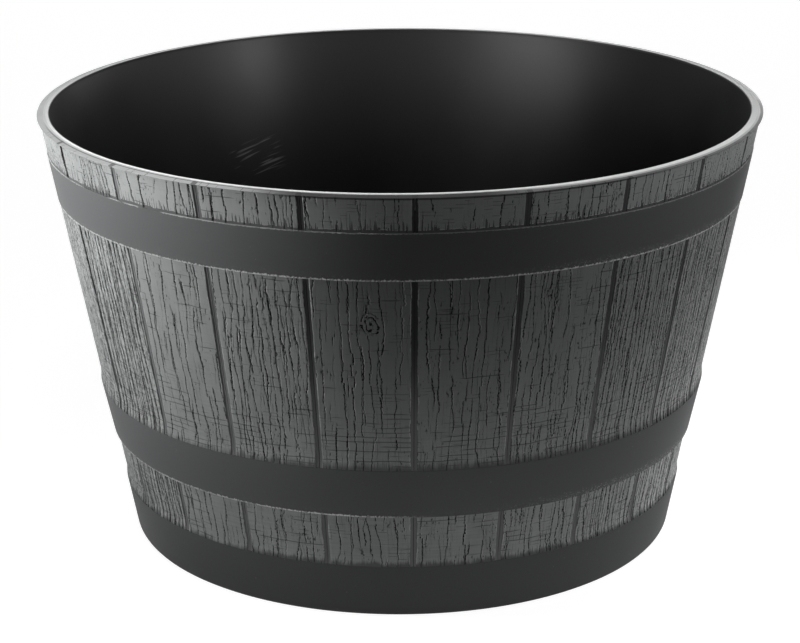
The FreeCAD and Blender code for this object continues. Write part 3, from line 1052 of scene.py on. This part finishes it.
def rim_finish():
    """Satin light grey with a bright inner line that is a painted highlight, and a slope that is dark with
    painted shade and ticked along the front.
    """
    material, shader, x, y, z = new_finish("rim_grey")
    tree = material.node_tree
    cloud = patches(x / 35, y / 35, z / 4, detail=4)
    specks = patches(x / 0.7, y / 0.7, z / 0.7)
    colour = blend_colours(tree, cloud.ramp(0.25, 0.75), RIM_GREY, RIM_GREY_PALE)
    colour = blend_colours(tree, specks.ramp(0.66, 0.78) * 0.35, colour, RIM_SPECKS)

    # The slope: grey at the back and left, with painted shade making it darker at the right and nearly
    # black in the middle of the front
    across_ring = (x * x + y * y).math("SQRT") - rim_inner / MM
    slope_start = (rim_high.x - rim_inner - RIM_SLOPE_WIDTH) / MM
    rightward = x.ramp(50, 130) * y.ramp(40, -40)
    frontward = y.ramp(-60, -110)
    front_shade = y.ramp(-90, -220) * x.ramp(130, 50) * x.ramp(-130, -60)
    slope = blend_colours(tree, rightward, SLOPE_GREY, SLOPE_RIGHT_PAINTED_SHADE)
    slope = blend_colours(tree, front_shade, slope, SLOPE_FRONT_PAINTED_SHADE)
    turn = y.math("ARCTAN2", x)
    first_joint = facing(stave_nodes[0]) + stave_pitch / 2
    joint_aside = (turn - first_joint).off_line(stave_pitch)[0]
    edge_radius = rim_high.x / MM
    joints = line_mark(GROOVE_WIDTH / 2 / MM, joint_aside * edge_radius)
    ticks = cracks(
        turn * edge_radius, z, TICK_SEED, TICK_SPACING, TICK_HALF_WIDTH, length=60, least=0.5, jagged=1.0
    )[0]
    slope = blend_colours(tree, highest(joints, ticks) * frontward * 0.8, slope, CRACK_AND_SHADOW_BLACK)
    past_line = across_ring - rightward * SLOPE_LATER_RIGHT
    on_slope = past_line.ramp(slope_start - SLOPE_BLEND, slope_start + SLOPE_BLEND)
    colour = blend_colours(tree, on_slope, colour, slope)
    # Painted shadow of the gap under the rim's edge, drawn on the slope at the front left
    gap_shadow = line_mark(GAP_SHADOW_HALF_WIDTH, (across_ring - slope_start - SLOPE_BLEND).math("ABSOLUTE"))
    colour = blend_colours(tree, gap_shadow * x.ramp(-60, -100) * frontward * 0.7, colour, CRACK_AND_SHADOW_BLACK)

    # The bright line on the level part, a painted highlight whiter at the front and wider at the right, and
    # the black edge of the mouth
    line = blend_colours(tree, y.ramp(-30, -130), HIGHLIGHT_BACK_GREY, HIGHLIGHT_FRONT_GREY)
    on_highlight = (across_ring - rightward * HIGHLIGHT_WIDER_RIGHT).ramp(*HIGHLIGHT_BAND)
    colour = blend_colours(tree, on_highlight, colour, line)
    colour = blend_colours(tree, across_ring.ramp(*MOUTH_EDGE), colour, MOUTH_BLACK)
    feed(tree, shader.inputs["Base Color"], colour)
    feed(tree, shader.inputs["Roughness"], cloud.ramp(0.2, 0.8, 0.36, 0.5))
    dull = on_slope * highest(front_shade, rightward)
    feed(tree, shader.inputs["Specular IOR Level"], dull.ramp(0.0, 1.0, 0.5, 0.15))
    roughen(shader, tree, specks, 0.05 * MM)
    return material


stave_back_top = wall(rim_under) - STAVE_THICKNESS
stave_back_low = wall(rim_low.z) - STAVE_THICKNESS
rim = lathe("rim_cap", soft_outline([
    (rim_inner, rim_under, 0),
    (rim_inner, rim_high.z, RIM_INNER_ROUND),
    (rim_high.x - RIM_SLOPE_WIDTH, rim_high.z, RIM_SLOPE_ROUND),
    (rim_high.x, rim_high.z - RIM_SLOPE_DROP, RIM_EDGE_ROUND),
    (rim_high.x, rim_under, RIM_EDGE_ROUND),
    (stave_back_top + TONGUE_THICKNESS, rim_under, 0),
    (stave_back_low + TONGUE_THICKNESS, rim_low.z, 0),
    (stave_back_low, rim_low.z, 0),
    (stave_back_top, rim_under, 0),
]), segments=HOOP_STEPS)
rim.data.materials.append(rim_finish())
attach(rim, "planter")
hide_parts("rim_ring")


# Studio: a pale floor that runs out to a white surround, and soft lamps round the planter, the strongest
# at the left, weaker ones at the front, the right and the right back, small ones over the front left of
# the rim and into the mouth. A long lens looks down on the planter from the front.
FLOOR_SIZE = 60.0
FLOOR_COLOUR = (0.25, 0.25, 0.25)
FLOOR_ROUGHNESS = 0.9
FLOOR_GLOW = 0.94
WHITE = (1, 1, 1, 1)
SKY_FILL = 0.025
SKY_SEEN = 1.0


def seen_directly(tree):
    """1 for rays that show the background itself, 0 for those that only light the object."""
    path = tree.nodes.new("ShaderNodeLightPath")
    camera = Field(tree, path.outputs["Is Camera Ray"])
    glossy = Field(tree, path.outputs["Is Glossy Ray"])
    through = Field(tree, path.outputs["Is Transmission Ray"])
    return camera.math("MAXIMUM", glossy).math("MAXIMUM", through)


world = bpy.data.worlds.new("studio")
world.use_nodes = True
bpy.context.scene.world = world
sky = world.node_tree.nodes["Background"]
sky_strength = seen_directly(world.node_tree).ramp(0, 1, SKY_FILL, SKY_SEEN, smooth=False)
feed(world.node_tree, sky.inputs["Strength"], sky_strength)
sky.inputs["Color"].default_value = WHITE

floor_mesh = bmesh.new()
bmesh.ops.create_grid(floor_mesh, x_segments=1, y_segments=1, size=FLOOR_SIZE / 2)
floor_data = bpy.data.meshes.new("floor")
floor_mesh.to_mesh(floor_data)
floor_mesh.free()
floor = bpy.data.objects.new("floor", floor_data)
bpy.context.scene.collection.objects.link(floor)
floor_material, floor_shader = new_finish("pale_floor")[:2]
floor_tree = floor_material.node_tree
floor_shader.inputs["Base Color"].default_value = (*FLOOR_COLOUR, 1)
floor_shader.inputs["Roughness"].default_value = FLOOR_ROUGHNESS
floor_shader.inputs["Emission Color"].default_value = WHITE
feed(floor_tree, floor_shader.inputs["Emission Strength"], seen_directly(floor_tree) * FLOOR_GLOW)
floor_data.materials.append(floor_material)

# Lamps: place and aim in metres, width and height in metres, power in watts, spread in degrees
SOFTBOXES = {
    "left_softbox": ((-1.195, -0.105, 0.15), (0, 0, 0.5), (0.35, 0.35), 1.95, 60),
    "left_high_softbox": ((-0.564, -0.205, 1.0), (0, 0, 0.38), (0.4, 0.4), 0.8, 40),
    "left_front_softbox": ((-0.883, -0.469, 0.47), (0, 0, 0.38), (0.3, 0.2), 0.08, 30),
    "right_front_softbox": ((0.83, -0.56, 0.47), (0, 0, 0.38), (0.3, 0.2), 0.066, 30),
    "right_softbox": ((0.591, -0.104, 0.7), (0, 0, 0.45), (0.4, 0.4), 0.12, 70),
    "right_low_softbox": ((0.6, 0, 0.1), (0, 0, -0.1), (0.45, 0.15), 0.37, 90),
    "front_low_softbox": ((0.104, -0.591, 0.1), (0, 0, -0.1), (0.45, 0.15), 0.11, 90),
    "rim_softbox": ((-0.2, -0.25, 0.75), (-0.17, -0.2, 0.34), (0.15, 0.15), 1.0, 160),
    "inside_softbox": ((-0.31, -0.19, 0.55), (0.1, 0.25, 0.3), (0.15, 0.15), 0.06, 30),
    "right_back_softbox": ((0.62, 0.79, 0.3), (0.2, 0, 0.18), (0.3, 0.3), 0.35, 60),
}
for name, (place, aim, (width, height), power, spread) in SOFTBOXES.items():
    lamp = bpy.data.lights.new(name, "AREA")
    lamp.shape = "RECTANGLE"
    lamp.size = width
    lamp.size_y = height
    lamp.energy = power
    lamp.spread = math.radians(spread)
    stand = bpy.data.objects.new(name, lamp)
    stand.location = place
    stand.rotation_euler = (Vector(aim) - Vector(place)).to_track_quat("-Z", "Y").to_euler()
    bpy.context.scene.collection.objects.link(stand)

# Camera: its place in metres and its tilt at the photograph's viewing angle
CAMERA_DISTANCE = 1.921
CAMERA_HEIGHT = 0.7946
CAMERA_PITCH = math.radians(18.31)
CAMERA_ROLL = math.radians(-0.35)
CAMERA_ASIDE = -0.001
LENS_MM = 113.84
SENSOR_MM = 36.0
camera_data = bpy.data.cameras.new("camera")
camera_data.lens = LENS_MM
camera_data.sensor_width = SENSOR_MM
camera = bpy.data.objects.new("camera", camera_data)
lean = Matrix.Rotation(math.pi / 2 - CAMERA_PITCH, 4, "X") @ Matrix.Rotation(CAMERA_ROLL, 4, "Z")
camera.matrix_world = Matrix.Translation((CAMERA_ASIDE, -CAMERA_DISTANCE, CAMERA_HEIGHT)) @ lean
bpy.context.scene.collection.objects.link(camera)
bpy.context.scene.camera = camera
bpy.context.scene.view_settings.view_transform = "Standard"
